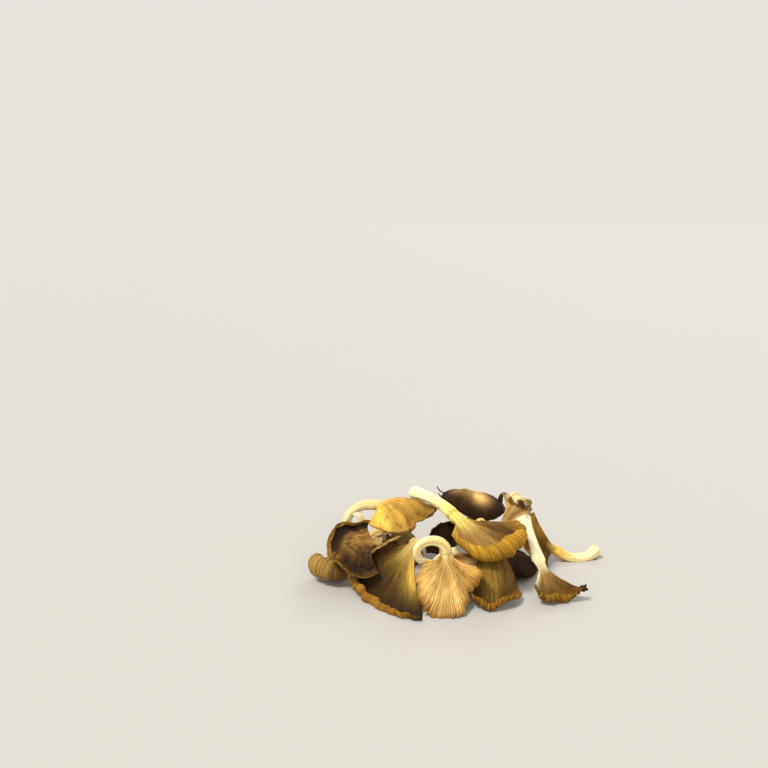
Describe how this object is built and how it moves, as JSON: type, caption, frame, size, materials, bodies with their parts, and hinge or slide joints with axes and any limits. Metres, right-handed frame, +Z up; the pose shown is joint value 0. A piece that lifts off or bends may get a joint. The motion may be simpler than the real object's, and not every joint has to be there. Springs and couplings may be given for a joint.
{
  "type": "oyster mushroom cluster",
  "caption": "Heap of dried oyster mushrooms with rolled rims, ribbed gills and pale stems, lying on a flat surface.",
  "frame": {"origin": "middle of the heap's outline, on the surface it lies on", "axes": "+X to the right along the heap's longest side, +Y away from its front, +Z up"},
  "size_m": [0.177, 0.1164, 0.0459],
  "materials": {
    "olive_flesh": "matte",
    "pale_flesh": "matte",
    "grey_flesh": "matte",
    "dark_flesh": "matte",
    "brown_flesh": "matte"
  },
  "bodies": {
    "root": {"broad_fan_front": "olive_flesh", "pale_gills_front": "pale_flesh", "long_stem_top": "grey_flesh", "grey_cap_front": "grey_flesh", "rolled_gills_left": "olive_flesh", "dark_cup_left": "dark_flesh", "olive_cap_back_left": "olive_flesh", "dark_cap_back": "dark_flesh", "frilled_cap_back_right": "grey_flesh", "folded_cap_right": "grey_flesh", "bent_stem_right": "grey_flesh", "dark_cap_under_right": "dark_flesh", "dark_cap_middle": "dark_flesh", "brown_cap_middle": "brown_flesh", "small_cap_left": "brown_flesh", "grey_cap_under_left": "grey_flesh"}
  },
  "joints": []
}
